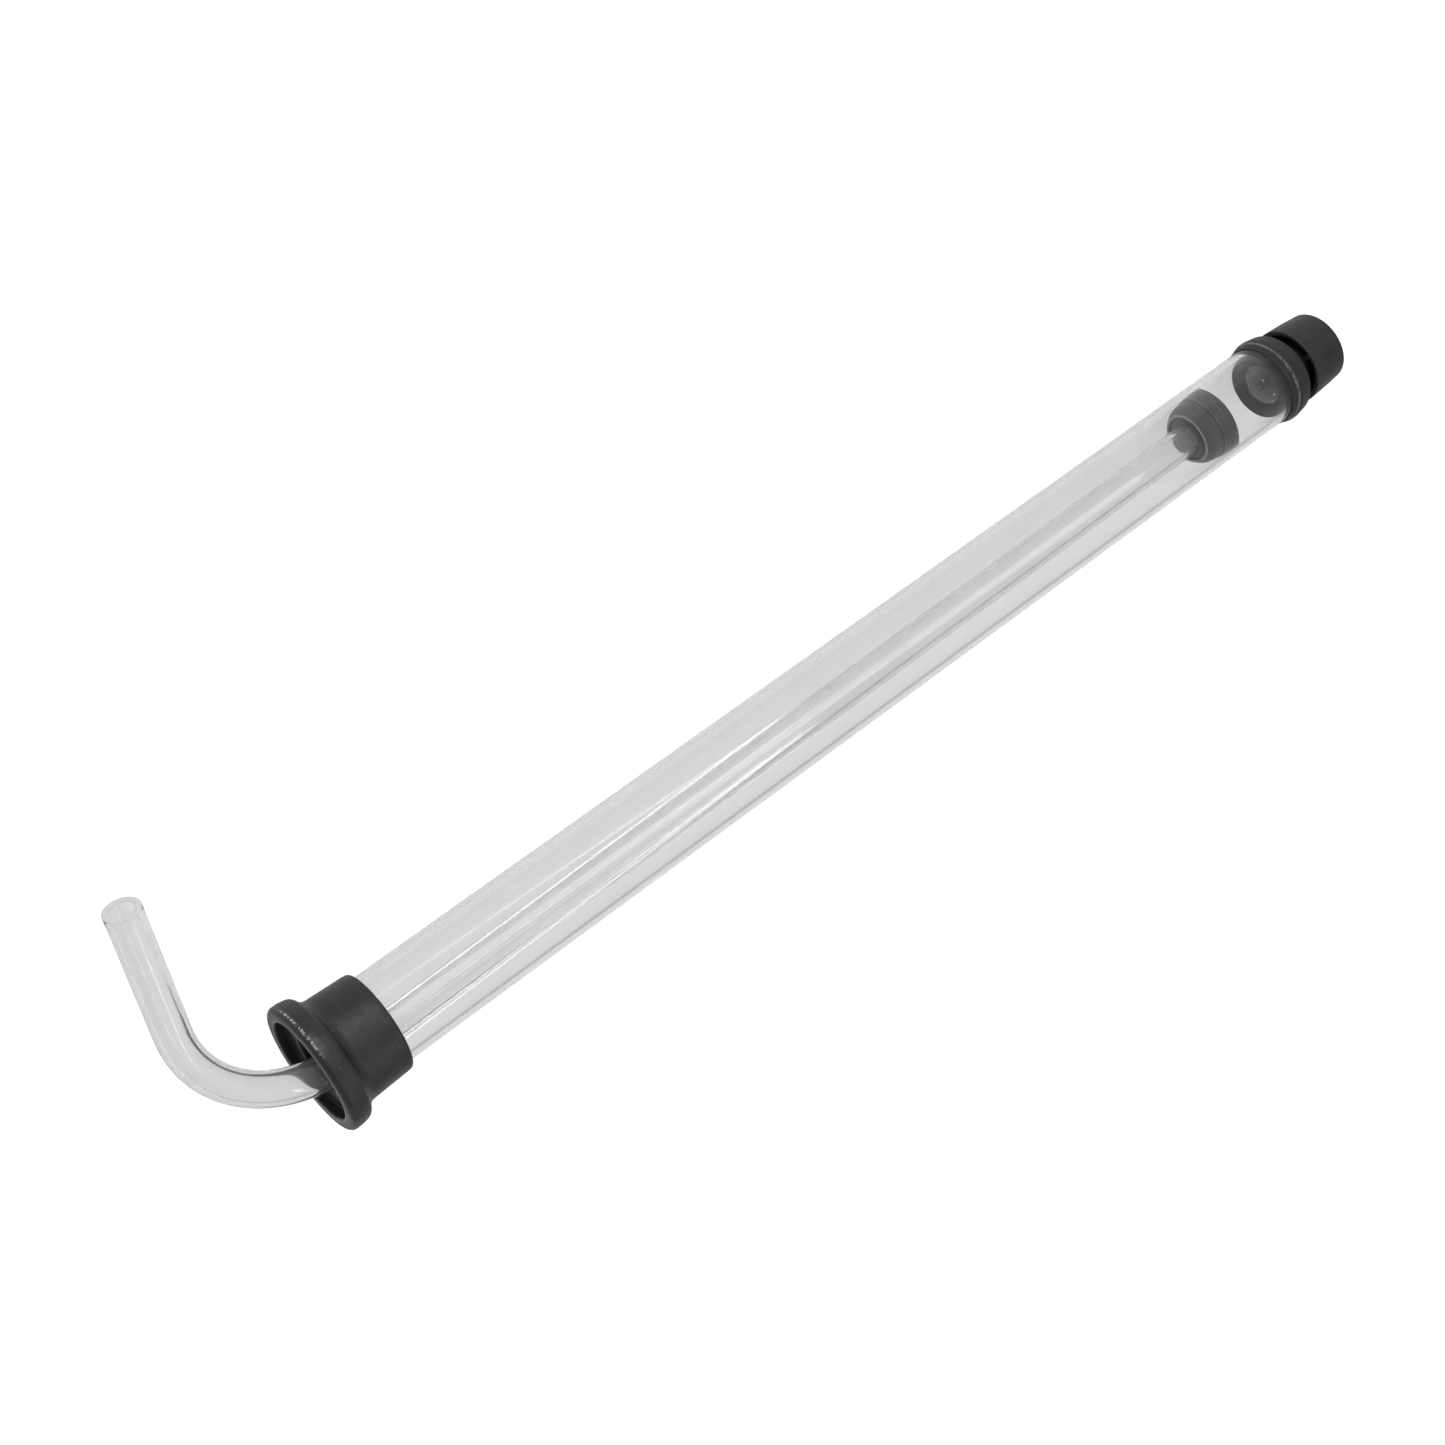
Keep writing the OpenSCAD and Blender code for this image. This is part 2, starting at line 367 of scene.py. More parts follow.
def frosted_cut(name):
    """The sawn end of the clear cane, dull with fine saw marks."""
    material, tree, shader = new_material(name)
    marks = noise_value(tree, scaled(tree, object_coords(tree), SAW_STRETCH), *SAW_MARKS)
    tree.links.new(blend_colour(tree, marks, CUT_DARK, CUT_LIGHT), shader.inputs["Base Color"])
    tree.links.new(remap(tree, marks, *CUT_RANGE, *CUT_ROUGHNESS), shader.inputs["Roughness"])
    tree.links.new(bump(tree, marks, SAW_DEPTH), shader.inputs["Normal"])
    return material


CLEAR = clear_plastic("clear_tube", ior=1.42, clearness=0.985, density=10.0, ripple=0.004 * MM)
CLEAR_CANE = clear_plastic("clear_cane", ior=1.34, clearness=0.92, density=6.0, ripple=0.002 * MM)
CANE_CUT = frosted_cut("cane_cut")

# ---------------------------------------------------------------- black rubber and plastic
BLACK_SPECULAR = 0.4
PATCHES = (7 * MM, 4.0, 0.55)
PATCH_RANGE = (0.32, 0.68)
GLOSS_RANGE = (0.3, 0.7)
GLOSS_SPREAD = 0.07             # how far the roughness of the patches strays either way
RUBBING = (1.3 * MM, 4.0, 0.7)
RUBBING_RANGE = (0.38, 0.66)
WORN = (0.11, 0.11, 0.112)
DUST_SPECKS = (0.55 * MM, 2.0, 0.5)
DUST_SPECK_RANGE = (0.70, 0.76)
DUST_PATCHES = (6 * MM, 2.0, 0.5)
DUST_PATCH_RANGE = (0.42, 0.62)
DUST_COLOUR = (0.3, 0.3, 0.29)
FINE_GRAIN = (0.35 * MM, 3.0, 0.6)
UNEVENNESS = (2.2 * MM, 2.0, 0.5)
UNEVEN_HEIGHT = 3               # height of the unevenness against the grain's
GRAIN = 0.02 * MM

FLECKS = (0.7 * MM, 5.0, 0.75)
FLECK_FADE = 0.12
RING_CORE = 0.3                 # the part of a ring mark's width (rub mark, and painted highlight) that has full strength
SPREAD_CORE = 0.5               # and of its length, where it isn't painted all round
RUBBED_GREY = (0.12, 0.12, 0.12)

LIP_EDGE_X = COLLAR_HI.x - 1.3 * MM
SCUFF_AT = Vector((LIP_EDGE_X, -18.3 * MM, 0.5 * MM))   # the lip's outer edge is rubbed white round here
SCUFF_SPREAD = 12.0 * MM
NOSE_RIM_R = 7.7 * MM
# Painted glints: bright specks painted into the valve disc's colour as highlights, placed across the axis.
GLINTS_AT = [Vector((0, y, z)) * MM for y, z in ((-2.9, 1.1), (3.4, 4.7), (0.6, 5.2))]
GLINT_CORE_R = 0.2 * MM
GLINT_R = 0.45 * MM
GLINT_COLOUR = (0.75, 0.75, 0.75)


def moulded(name, dark, light, rough, dust, grain=GRAIN, worn=WORN):
    """Black rubber or plastic with moulded grain, uneven shade, dust, and edges rubbed lighter."""
    material, tree, shader = new_material(name)
    place = object_coords(tree)
    patches = noise_value(tree, place, *PATCHES)
    shade = blend_colour(tree, remap(tree, patches, *PATCH_RANGE), dark, light)
    rubbing = remap(tree, noise_value(tree, place, *RUBBING), *RUBBING_RANGE)
    shade = blend_colour(tree, times(tree, edge_mask(tree), rubbing), shade, worn)
    specks = remap(tree, noise_value(tree, place, *DUST_SPECKS), *DUST_SPECK_RANGE)
    gathered = remap(tree, noise_value(tree, place, *DUST_PATCHES), *DUST_PATCH_RANGE)
    shade = blend_colour(tree, times(tree, times(tree, specks, gathered), dust), shade, DUST_COLOUR)
    tree.links.new(shade, shader.inputs["Base Color"])
    shader.inputs["Specular IOR Level"].default_value = BLACK_SPECULAR
    gloss = remap(tree, patches, *GLOSS_RANGE, rough - GLOSS_SPREAD, rough + GLOSS_SPREAD)
    tree.links.new(gloss, shader.inputs["Roughness"])
    uneven = bump(tree, noise_value(tree, place, *UNEVENNESS), grain * UNEVEN_HEIGHT)
    fine = bump(tree, noise_value(tree, place, *FINE_GRAIN), grain, uneven)
    tree.links.new(fine, shader.inputs["Normal"])
    return material


def rub_and_highlight_ring(material, x, radius, width, colour, flecks_from, at=None, spread=0.0):
    """Paints light marks along a ring about the X axis, or along the part of it round one place: rub marks,
    and painted highlights where a rim catches light.
    """
    tree = material.node_tree
    place = object_coords(tree)
    flecks = remap(tree, noise_value(tree, place, *FLECKS), flecks_from, flecks_from + FLECK_FADE)
    mask = times(tree, flecks, ring_mask(tree, place, x, radius, width * RING_CORE, width))
    if at is not None:
        mask = times(tree, mask, near_mask(tree, place, at, spread * SPREAD_CORE, spread))
    paint_over(material, mask, colour)


def painted_glints(material, places):
    """Paints bright specks on the part: painted glints, highlights put into its colour."""
    tree = material.node_tree
    flat = off_axis(tree, object_coords(tree))
    for place in places:
        paint_over(material, near_mask(tree, flat, place, GLINT_CORE_R, GLINT_R), GLINT_COLOUR)


COLLAR_RUBBER = moulded("collar_rubber", dark=(0.007, 0.007, 0.0075), light=(0.016, 0.016, 0.017),
                        rough=0.44, dust=0.5, grain=0.03 * MM)
FOOT_RUBBER = moulded("foot_rubber", dark=(0.006, 0.006, 0.0063), light=(0.014, 0.014, 0.0145),
                      rough=0.52, dust=0.5)
CAP_PLASTIC = moulded("cap_plastic", dark=(0.007, 0.007, 0.0073), light=(0.017, 0.017, 0.0177),
                      rough=0.46, dust=0.7, grain=0.016 * MM)
SEAL_RUBBER = moulded("seal_rubber", dark=(0.011, 0.011, 0.0114), light=(0.028, 0.028, 0.0288),
                      rough=0.44, dust=0.25)
HUB_PLASTIC = moulded("hub_plastic", dark=(0.015, 0.015, 0.0155), light=(0.03, 0.03, 0.031),
                      rough=0.38, dust=0.2)
VALVE_RUBBER = moulded("valve_rubber", dark=(0.022, 0.022, 0.022), light=(0.075, 0.075, 0.075),
                       rough=0.24, dust=0.4, grain=0.006 * MM)
STEM_PLASTIC = moulded("stem_plastic", dark=(0.07, 0.07, 0.07), light=(0.1, 0.1, 0.102),
                       rough=0.14, dust=0.4, grain=0.003 * MM, worn=(0.3, 0.3, 0.3))

# paints highlight specks on the valve's disc (painted glints)
painted_glints(VALVE_RUBBER, GLINTS_AT)
rub_and_highlight_ring(COLLAR_RUBBER, x=LIP_EDGE_X, radius=COLLAR_HI.z - 0.1 * MM, width=0.5 * MM,
            colour=(0.5, 0.5, 0.48), flecks_from=0.48, at=SCUFF_AT, spread=SCUFF_SPREAD)
rub_and_highlight_ring(COLLAR_RUBBER, x=COLLAR_HI.x, radius=RECESS_R + 0.5 * MM, width=0.5 * MM,
            colour=RUBBED_GREY, flecks_from=0.36)
# Painted highlight: a light ring painted on the seal's nose rim where it catches light.
rub_and_highlight_ring(SEAL_RUBBER, x=SEAL_HI.x, radius=NOSE_RIM_R, width=0.6 * MM,
            colour=(0.42, 0.42, 0.41), flecks_from=0.36)
rub_and_highlight_ring(SEAL_RUBBER, x=GROOVE_X, radius=SEAL_HI.z - 0.3 * MM, width=0.5 * MM,
            colour=RUBBED_GREY, flecks_from=0.42)
# Painted highlight: a thin light arc painted on the skirt's rim edge, where it catches light.
rub_and_highlight_ring(FOOT_RUBBER, x=BASE_HI.x - 2.6 * MM, radius=BASE_HI.z - 0.4 * MM, width=0.45 * MM,
            colour=(0.2, 0.2, 0.2), flecks_from=0.4)


def finish_piece(piece, material, body, slot, *nodes):
    """Gives a piece its material, hangs it under its body's empty and hides the CAD parts that it replaces.
    """
    piece.data.materials.clear()
    piece.data.materials.append(material)
    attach(piece, body)
    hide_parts(*nodes)


# ---------------------------------------------------------------- clear tubes
TUBE_EASE = 0.3 * MM
CANE_EASE = 0.3 * MM            # the cane's rounded ends, and how far the mount stops short of the hose end
LEG_LEN = HOSE_END["dims"]["length_mm"] * MM + CANE_EASE
BEND_R = 36 * MM
BEND_ANGLE = radians(95)
BEND_DRAW = 0.05 * MM           # bending draws the tube thinner
RUN_STEPS = 40
BEND_STEPS = 72
LEG_STEPS = 12
END_STEPS = 10
CANE_SEGMENTS = 128
CANE_SHARP = 60


def make_tube():
    """The clear pump tube with eased ends."""
    lo, hi = TUBE_LO.x, TUBE_HI.x
    corners = [(x, r, TUBE_EASE) for x, r in ((lo, BORE_R), (lo, TUBE_R), (hi, TUBE_R), (hi, BORE_R))]
    tube = lathe("pump_tube", corners, segments=256)
    finish_piece(tube, CLEAR, "pump_tube", "clear_tube", "outer_tube")


def cane_path():
    """The cane's centreline from hub to hose end, as (point, direction, how much thinner it is there)."""
    pivot = Vector(JOINTS["cane_spin"]["pos_m"])
    middle = Vector(HOSE_END["pos_m"])
    leg = Vector(HOSE_END["axis"]).normalized()
    across = middle - pivot
    along = across.dot(leg)
    height = (across - leg * along).length
    corner = middle - leg * (along - height / tan(BEND_ANGLE))
    run = (corner - pivot).normalized()
    reach = BEND_R * tan(BEND_ANGLE / 2)
    bend_start = corner - run * reach
    bend_end = corner + leg * reach
    start = pivot - run * (pivot.x - SOCKET_X)
    end = middle + leg * (LEG_LEN + CANE_EASE) / 2
    up = (leg - run * leg.dot(run)).normalized()
    points = []
    for k in range(RUN_STEPS + 1):
        points.append((start.lerp(bend_start, k / RUN_STEPS), run, 0))
    for k in range(1, BEND_STEPS):
        turn = BEND_ANGLE * k / BEND_STEPS
        at = bend_start + run * BEND_R * sin(turn) + up * BEND_R * (1 - cos(turn))
        points.append((at, run * cos(turn) + up * sin(turn), BEND_DRAW))
    for k in range(LEG_STEPS + 1):
        points.append((bend_end.lerp(end, k / LEG_STEPS), leg, BEND_DRAW if k == 0 else 0))
    return points, run.cross(up)


def make_cane():
    """The bent clear tube, open from the hub to its frosted hose end."""
    points, side = cane_path()
    middle_r = (CANE_R + CANE_BORE_R) / 2
    half = (CANE_R - CANE_BORE_R) / 2
    vertices = []
    rings = []

    def ring(at, direction, radius):
        other = side.cross(direction)
        rings.append(len(vertices))
        for k in range(CANE_SEGMENTS):
            a = 2 * pi * k / CANE_SEGMENTS
            vertices.append(at + (side * cos(a) + other * sin(a)) * radius)

    def end_rings(at, direction, sign):
        """The eased edge at one end: from outside to bore where sign is 1, back out where it is -1."""
        for k in range(END_STEPS + 1):
            a = pi * k / END_STEPS
            drawn_in = CANE_EASE * (1 - sin(a) ** 0.5)
            ring(at - sign * direction * drawn_in, direction, middle_r + sign * half * cos(a))

    for at, direction, thinner in points[1:-1]:
        ring(at, direction, CANE_R - thinner)
    cut_start = len(rings)
    end_rings(*points[-1][:2], 1)
    cut_end = len(rings) - 1
    for at, direction, thinner in reversed(points[1:-1]):
        ring(at, direction, CANE_BORE_R - thinner)
    end_rings(*points[0][:2], -1)
    faces = []
    for i, first in enumerate(rings):
        other = rings[(i + 1) % len(rings)]
        for k in range(CANE_SEGMENTS):
            j = (k + 1) % CANE_SEGMENTS
            faces.append([first + k, first + j, other + j, other + k])
    cane = mesh_object("cane", vertices, faces, CANE_SHARP)
    finish_piece(cane, CLEAR_CANE, "cane", "clear_cane", "racking_cane")
    cane.data.materials.append(CANE_CUT)
    for polygon in cane.data.polygons[cut_start * CANE_SEGMENTS:cut_end * CANE_SEGMENTS]:
        polygon.material_index = 1


# ---------------------------------------------------------------- collar
SLEEVE_END_R = 14.3 * MM
SLEEVE_LEAD = 1.6 * MM          # over this length the sleeve widens from its end
SLEEVE_R = 14.52 * MM
WAIST_R = 15.08 * MM
WAIST_TO_LIP = 7.76 * MM        # both distances are to the lip's flat face
FLARE_R = 17.95 * MM
FLARE_TO_LIP = 6.04 * MM
LIP_WIDTH = 3.3 * MM
LIP_DRAFT = 0.03 * MM
RECESS_DEPTH = 3.0 * MM
GUIDE_R = 8.9 * MM              # the wide hole that the cane runs through


def make_collar():
    """Sleeve, waist, flared lip, recess and web of the collar, from the tube's end to the outlet."""
    lo, hi = COLLAR_LO.x, COLLAR_HI.x
    lip_r = COLLAR_HI.z
    floor = hi - RECESS_DEPTH
    web = TUBE_HI.x
    inside = TUBE_R - SEAT
    sleeve = [(lo, SLEEVE_END_R, 0.7 * MM), (lo + SLEEVE_LEAD, SLEEVE_R, 3.0 * MM)]
    flare = [(hi - WAIST_TO_LIP, WAIST_R, 4.2 * MM), (hi - FLARE_TO_LIP, FLARE_R, 2.2 * MM)]
    lip = [(hi - LIP_WIDTH, lip_r - LIP_DRAFT, 6 * MM), (hi, lip_r, 1.6 * MM), (hi, RECESS_R, 0.6 * MM)]
    recess = [(floor, RECESS_R, 0.3 * MM), (floor, GUIDE_R, 0.35 * MM)]
    seat = [(web, GUIDE_R, 0.35 * MM), (web, inside, 0), (lo, inside, 0.25 * MM)]
    collar = lathe("collar", sleeve + flare + lip + recess + seat, segments=256, steps=8)
    finish_piece(collar, COLLAR_RUBBER, "pump_tube", "collar_rubber", "guide_collar")


# ---------------------------------------------------------------- piston
WIPER_LEN = 2.3 * MM            # the band of the seal that wipes the bore
WIPER_STEP = 0.16 * MM          # how much narrower the seal is past it
GROOVE_DEPTH = 1.1 * MM
GROOVE_WIDTH = 0.5 * MM
NOSE_LEN = 2.0 * MM             # the rounded front of the seal
NOSE_R = 8.05 * MM
DISH_R = 7.3 * MM               # the hollow in the seal's nose, round the hub
DISH_FLOOR_R = 6.95 * MM
DISH_DEPTH = 0.85 * MM
FLANGE_LEN = 1.2 * MM
SEAL_CLEARANCE = 0.05 * MM
SOCKET_CLEARANCE = 0.02 * MM
SOCKET_LEAD = 0.1 * MM


def make_seal():
    """The piston's rubber: wiping band, groove, rounded nose and the dish round the hub."""
    lo, hi = SEAL_LO.x, SEAL_HI.x
    outer = SEAL_HI.z
    inner = HUB_R + SEAL_CLEARANCE
    wiper_x = lo + WIPER_LEN
    groove_lo = GROOVE_X + 0.1 * MM
    groove_hi = groove_lo + GROOVE_WIDTH
    groove_r = outer - GROOVE_DEPTH
    dish_x = hi - DISH_DEPTH
    wiper = [(lo, inner, 0), (lo, outer, 0.3 * MM), (wiper_x, outer, 0.25 * MM),
             (wiper_x + 0.3 * MM, outer - WIPER_STEP, 0.2 * MM)]
    groove = [(GROOVE_X, outer - 0.4 * MM, 0.2 * MM), (groove_lo, groove_r, 0.06 * MM),
              (groove_hi, groove_r, 0.06 * MM), (groove_hi + 0.15 * MM, outer - 0.65 * MM, 0.2 * MM)]
    nose = [(hi - NOSE_LEN, groove_r, 1.4 * MM), (hi, NOSE_R, 0.25 * MM)]
    dish = [(hi, DISH_R, 0.2 * MM), (dish_x, DISH_FLOOR_R, 0.25 * MM), (dish_x, inner, 0.05 * MM)]
    seal = lathe("piston_rubber", wiper + groove + nose + dish, segments=200)
    finish_piece(seal, SEAL_RUBBER, "piston", "seal_rubber", "piston_seal")


def make_hub():
    """The piston's core: a flange behind the seal and a boss with a socket for the cane."""
    lo, hi = HUB_LO.x, HUB_HI.x
    flange_r = HUB_HI.z
    flange_x = lo + FLANGE_LEN
    socket = CANE_R + SOCKET_CLEARANCE
    flange = [(lo, CANE_BORE_R, 0.2 * MM), (lo, flange_r, 0.3 * MM), (flange_x, flange_r, 0.2 * MM)]
    boss = [(flange_x, HUB_R, 0), (hi, HUB_R, 0.35 * MM), (hi, socket + SOCKET_LEAD, 0.15 * MM)]
    step = [(SOCKET_X, socket, 0), (SOCKET_X, CANE_BORE_R, 0)]
    hub = lathe("piston_core", flange + boss + step, segments=160)
    finish_piece(hub, HUB_PLASTIC, "cane", "hub_plastic", "piston_hub")


# ---------------------------------------------------------------- foot
ARMS = 4                        # spokes of the foot's spider, and ribs in the cap
FLOOR_X = TUBE_LO.x - 2.1 * MM      # the under side of the foot's floor
SEAT_R = NECK_BORE_R + 1.2 * MM
SPIDER_R = 2.2 * MM
SPIDER_FILLET = 0.15 * MM
SPOKE_HALF = 0.7 * MM           # half of a spoke's width
SPOKE_ROOT = 0.3 * MM           # how far a spoke is sunk into the spider's hub
SPOKE_TIP = 0.4 * MM            # and into the neck
SHOULDER_IN = 1.35 * MM         # how much narrower the foot's body is at its floor
SHOULDER_LEN = 4.6 * MM
RIM_LEN = 2.7 * MM              # the thinner rim at the skirt's mouth
RIM_STEP = 0.65 * MM
RIM_DRAFT = 0.15 * MM


def make_spider():
    """The hub and spokes in the foot's floor that hold the valve's stem."""
    top = TUBE_LO.x
    ring = [(FLOOR_X, STEM_R, 0), (FLOOR_X, SPIDER_R, SPIDER_FILLET),
            (top, SPIDER_R, SPIDER_FILLET), (top, STEM_R, 0)]
    pieces = [lathe("spider", ring, segments=64)]
    near = SPIDER_R - SPOKE_ROOT
    far = NECK_BORE_R + SPOKE_TIP
    for k in range(ARMS):
        spoke = block("spoke", (FLOOR_X, -SPOKE_HALF, near), (top, SPOKE_HALF, far), SPIDER_FILLET)
        pieces.append(turned(spoke, pi / 2 * k))
    return pieces


def make_base():
    """The foot: neck, shoulder, skirt with a thin rim, the tube's seat, the valve's seat and the spider."""
    lo, hi = BASE_LO.x, BASE_HI.x
    skirt = BASE_HI.z
    rim = hi - RIM_LEN
    top = TUBE_LO.x
    seat_x = DISC_LO.x
    inside = TUBE_R - SEAT
    neck = [(lo, NECK_BORE_R, 0.3 * MM), (lo, NECK_R, 0.3 * MM), (FLOOR_X, NECK_R, 0.4 * MM)]
    shoulder = [(FLOOR_X, skirt - SHOULDER_IN, 0.3 * MM), (FLOOR_X + 1.0 * MM, skirt - 0.6 * MM, 1.2 * MM),
                (FLOOR_X + SHOULDER_LEN, skirt, 2.5 * MM)]
    mouth = [(rim, skirt, 0.6 * MM), (rim + 0.25 * MM, skirt - RIM_STEP, 0.15 * MM),
             (hi - 0.25 * MM, skirt - RIM_STEP - RIM_DRAFT, 0.25 * MM)]
    edge = [(hi, inside + 0.15 * MM, 0.05 * MM), (hi, inside, 0.05 * MM), (top, inside, 0)]
    seat = [(top, SEAT_R + 0.2 * MM, 0.5 * MM), (seat_x, SEAT_R, 0.2 * MM), (seat_x, NECK_BORE_R, 0.2 * MM)]
    base = lathe("foot_body", neck + shoulder + mouth + edge + seat, segments=200)
    base = join([base, *make_spider()])
    finish_piece(base, FOOT_RUBBER, "pump_tube", "foot_rubber", "foot_base")


# ---------------------------------------------------------------- check valve
DOME_RISE = 1.1 * MM            # how far the dome would fall from its middle to the rim
DOME_R = 6.2 * MM
DOME_INNER_R = 2.2 * MM
DOME_STEPS = 5
DISC_EDGE = 0.85 * MM           # thickness of the disc at its rim
DISC_CLEARANCE = 0.1 * MM
BARB_LEN = 1.4 * MM             # the stem's pushed-in end
BARB_R = 1.9 * MM
HEAD_LEN = 0.8 * MM
HEAD_CROWN = 0.4 * MM           # length of the head's rounded top
HEAD_TAPER = 0.7 * MM


def make_disc():
    """The valve's soft disc, domed towards the piston, with a hole for the stem."""
    lo, hi = DISC_LO.x, DISC_HI.x
    rim = DISC_HI.z
    hole = STEM_R + DISC_CLEARANCE
    radii = [DOME_R + (DOME_INNER_R - DOME_R) * k / DOME_STEPS for k in range(DOME_STEPS + 1)]
    dome = [(hi - DOME_RISE * (r / rim) ** 2, r, 0) for r in radii]
    corners = [(lo, hole, 0.1 * MM), (lo, rim, 0.25 * MM), (lo + DISC_EDGE, rim, 0.2 * MM)]
    disc = lathe("valve_flap", corners + dome + [(hi, hole, 0.1 * MM)], segments=120)
    finish_piece(disc, VALVE_RUBBER, "valve", "valve_rubber", "valve_disc")


def make_stem():
    """The push-in stem: a barb below the spider and a rounded head above the disc."""
    lo, hi = STEM_LO.x, STEM_HI.x
    head_r = STEM_HI.z
    neck_x = lo + BARB_LEN
    head_x = hi - HEAD_LEN
    barb = [(lo, 0, 0), (lo, STEM_R, 0.2 * MM), (neck_x, BARB_R, 0.2 * MM), (neck_x, STEM_R, 0)]
    head = [(head_x, STEM_R, 0.1 * MM), (head_x, head_r, 0.15 * MM), (hi - HEAD_CROWN, head_r, 0.3 * MM),
            (hi, head_r - HEAD_TAPER, 0.4 * MM), (hi, 0, 0)]
    stem = lathe("valve_pin", barb + head, segments=80)
    finish_piece(stem, STEM_PLASTIC, "pump_tube", "stem_plastic", "valve_stem")


# ---------------------------------------------------------------- foot cap
CAP_TAPER = 1.05 * MM           # how much narrower the cap is at its closed end
CAP_WALL = 1.35 * MM
CAP_FLOOR = 2.0 * MM
CAP_SIDE = ((0.4, 0.53 * MM), (0.75, 0.18 * MM))    # part of the length, and how much narrower it is there
CAP_SIDE_BLEND = 20 * MM
RIB_HALF = 0.8 * MM             # half of a rib's width
RIB_BEVEL = 0.2 * MM
RIB_CLEARANCE = 0.05 * MM
RIB_TO_MOUTH = 1.0 * MM
PAD_R = 3.0 * MM                # how near the pads come to the axis
PAD_CLEARANCE = 0.1 * MM
SUNK = 0.2 * MM                 # how far ribs and pads reach into the cap's floor


def make_ribs(floor_x, top, end_r):
    """Four ribs that grip the neck, each with a pad under the neck's end."""
    near = floor_x - SUNK
    pad_top = BASE_LO.x - PAD_CLEARANCE
    ribs = []
    for k in range(ARMS):
        rib_low = (near, -RIB_HALF, NECK_R + RIB_CLEARANCE)
        rib = block("rib", rib_low, (top, RIB_HALF, end_r - 0.15 * MM), RIB_BEVEL)
        pad = block("pad", (near, -RIB_HALF, PAD_R), (pad_top, RIB_HALF, end_r - 0.6 * MM), RIB_BEVEL)
        ribs += [turned(piece, pi / 2 * (k + 0.5)) for piece in (rib, pad)]
    return ribs


def make_cap():
    """The foot's cap, a slightly barrelled cup with ribs inside."""
    lo, hi = CAP_LO.x, CAP_HI.x
    mouth = CAP_HI.z
    length = hi - lo
    end_r = mouth - CAP_TAPER
    floor_x = lo + CAP_FLOOR
    end = [(lo, 0, 0), (lo, end_r, 0.9 * MM)]
    side = [(lo + part * length, mouth - inset, CAP_SIDE_BLEND) for part, inset in CAP_SIDE]
    edge = [(hi, mouth, 0.4 * MM), (hi, mouth - CAP_WALL, 0.3 * MM)]
    inside = [(floor_x, end_r - CAP_WALL, 0.6 * MM), (floor_x, 0, 0)]
    cap = lathe("tip", end + side + edge + inside, segments=200, steps=7)
    cap = join([cap, *make_ribs(floor_x, hi - RIB_TO_MOUTH, end_r)])
    finish_piece(cap, CAP_PLASTIC, "cap", "cap_plastic", "foot_cap")


make_tube()
make_cane()
make_collar()
make_seal()
make_hub()
make_base()
make_disc()
make_stem()
make_cap()

# ---------------------------------------------------------------- floor, light and camera
SENSOR = 36.0                   # millimetres, as the lens
LENS = 60.49
NEAR_CLIP = 0.01
EYE = Vector((0.49812, -0.48186, 0.36862))
HEADING = radians(118.780)
PITCH = radians(-34.867)
ROLL = radians(-127.214)
LIP_REST = 2.5 * MM             # the floor touches the lip this far from its flat face
SKIRT_REST = 1.5 * MM           # and is level with the skirt's side this far from its mouth
FLOOR_HALF = 4.0                # half of the floor's side
FLOOR_GREY = (0.3, 0.3, 0.3, 1)
FLOOR_ROUGHNESS = 0.9
PAPER = 1.0                     # how bright the floor and backdrop are where the camera sees them
PAPER_BEHIND = 0.56             # and the floor's own glow where the clear parts show it
WARM = (1.0, 0.992, 0.984, 1)
WHITE = (1, 1, 1, 1)
ROOM = 0.5                      # the room around, as the glossy and clear parts see it
CLEAR_BOUNCES = 32
GLOSSY_BOUNCES = 8

MIDDLE = (0.2, 0, 0)            # what most of the lights face
COLLAR_SLEEVE = (0.36, 0, 0)
# Each light: name, its two ends, width, the place that it faces, and radiance.
LIGHTS = [
    ("key", (-0.93, -1.0, 1.1), (0.3, -1.0, 1.1), 0.5, MIDDLE, 1.8),
    ("strip_near", (-0.364, -1.3, 0.168), (0.1, -1.3, 0.713), 0.06, MIDDLE, 9.0),
    ("strip_far", (-0.235, -0.28, 1.0), (0.25, 0.52, 1.0), 0.06, MIDDLE, 9.0),
    ("front", (0.24, -1.25, 0.28), (0.5, -1.25, 0.28), 0.3, COLLAR_SLEEVE, 26.0),
]


def make_camera():
    """The camera at EYE, looking along HEADING and PITCH and rolled about its line of sight."""
    data = bpy.data.cameras.new("camera")
    data.sensor_width = SENSOR
    data.lens = LENS
    data.clip_start = NEAR_CLIP
    camera = linked("camera", data)
    forward = Vector((cos(PITCH) * cos(HEADING), cos(PITCH) * sin(HEADING), sin(PITCH)))
    turn = forward.to_track_quat("-Z", "Y").to_matrix().to_4x4()
    camera.matrix_world = Matrix.Translation(EYE) @ turn @ Matrix.Rotation(-ROLL, 4, "Z")
    bpy.context.scene.camera = camera


def seen_by_camera(tree, direct, indirect):
    """A strength that is direct where the camera looks straight at a surface, and indirect elsewhere."""
    light_path = tree.nodes.new("ShaderNodeLightPath")
    return remap(tree, light_path.outputs["Is Camera Ray"], 0.0, 1.0, indirect, direct)


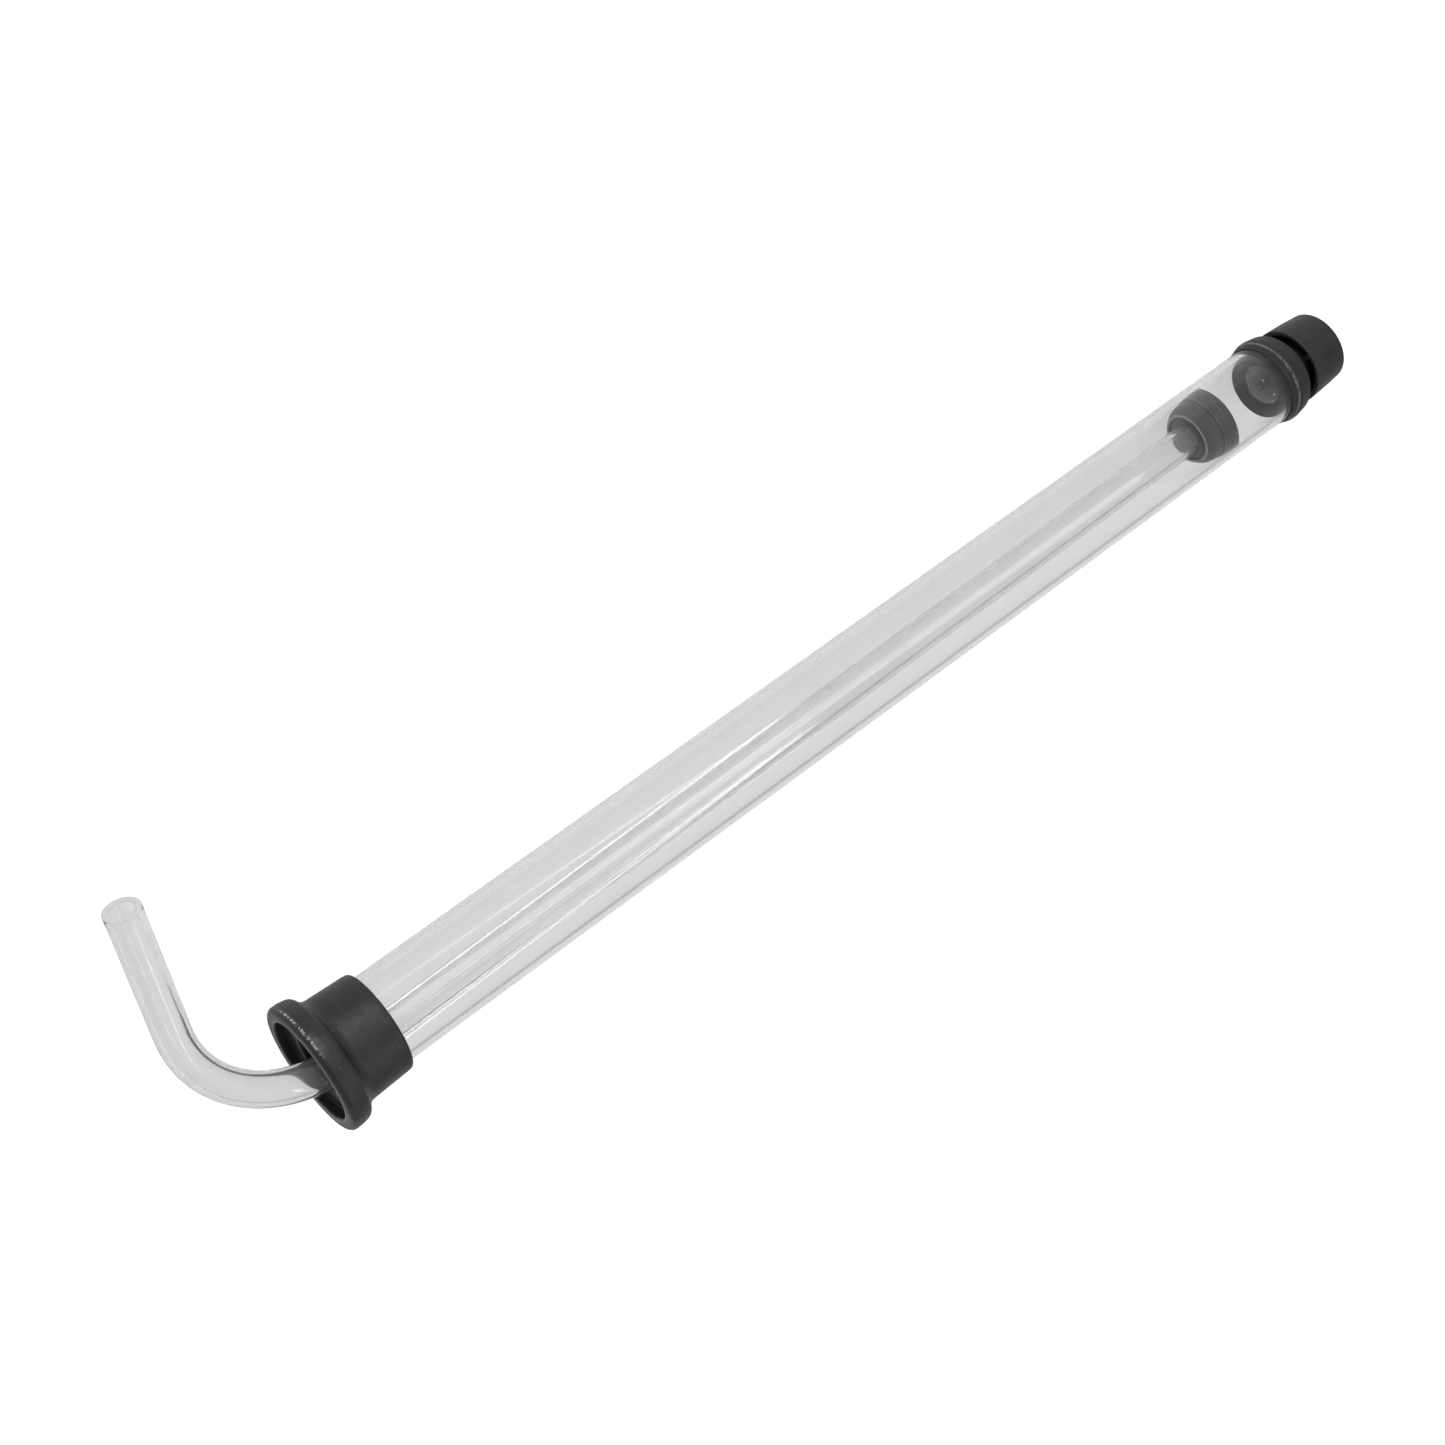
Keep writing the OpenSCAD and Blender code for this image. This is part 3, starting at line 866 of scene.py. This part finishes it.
def make_floor():
    """A pale sheet that the part lies on, just under the collar's lip and the foot's skirt."""
    lip = Vector((COLLAR_HI.x - LIP_REST, 0, -COLLAR_HI.z))
    skirt = Vector((BASE_HI.x - SKIRT_REST, 0, -BASE_HI.z))
    slope = (lip - skirt).normalized() * FLOOR_HALF
    across = Vector((0, FLOOR_HALF, 0))
    corners = [lip + slope * i + across * j for i, j in ((-1, -1), (1, -1), (1, 1), (-1, 1))]
    floor = mesh_object("floor", corners, [(0, 1, 2, 3)])
    material, tree, shader = new_material("floor")
    shader.inputs["Base Color"].default_value = FLOOR_GREY
    shader.inputs["Roughness"].default_value = FLOOR_ROUGHNESS
    shader.inputs["Specular IOR Level"].default_value = 0.0
    shader.inputs["Emission Color"].default_value = WARM
    tree.links.new(seen_by_camera(tree, PAPER, PAPER_BEHIND), shader.inputs["Emission Strength"])
    floor.data.materials.append(material)


def area_light(name, start, end, width, aim, radiance):
    """A strip or box light between two places, facing aim."""
    start, end, aim = Vector(start), Vector(end), Vector(aim)
    middle = (start + end) / 2
    length = (end - start).length
    data = bpy.data.lights.new(name, "AREA")
    data.shape = "RECTANGLE"
    data.size = length
    data.size_y = width
    data.energy = radiance * pi * length * width
    along = (end - start).normalized()
    across = (middle - aim).normalized().cross(along).normalized()
    back = along.cross(across).normalized()
    axes = Matrix((along, across, back)).transposed().to_4x4()
    linked(name, data).matrix_world = Matrix.Translation(middle) @ axes


def make_room():
    """The plain backdrop, which is also what the glossy and clear parts reflect."""
    world = bpy.data.worlds.new("studio")
    bpy.context.scene.world = world
    world.use_nodes = True
    tree = world.node_tree
    background = tree.nodes["Background"]
    background.inputs["Color"].default_value = WHITE
    tree.links.new(seen_by_camera(tree, PAPER, ROOM), background.inputs["Strength"])


make_camera()
make_floor()
make_room()
for light in LIGHTS:
    area_light(*light)
scene = bpy.context.scene
scene.view_settings.view_transform = "Standard"
scene.cycles.max_bounces = CLEAR_BOUNCES
scene.cycles.transmission_bounces = CLEAR_BOUNCES
scene.cycles.glossy_bounces = GLOSSY_BOUNCES
scene.cycles.caustics_refractive = True
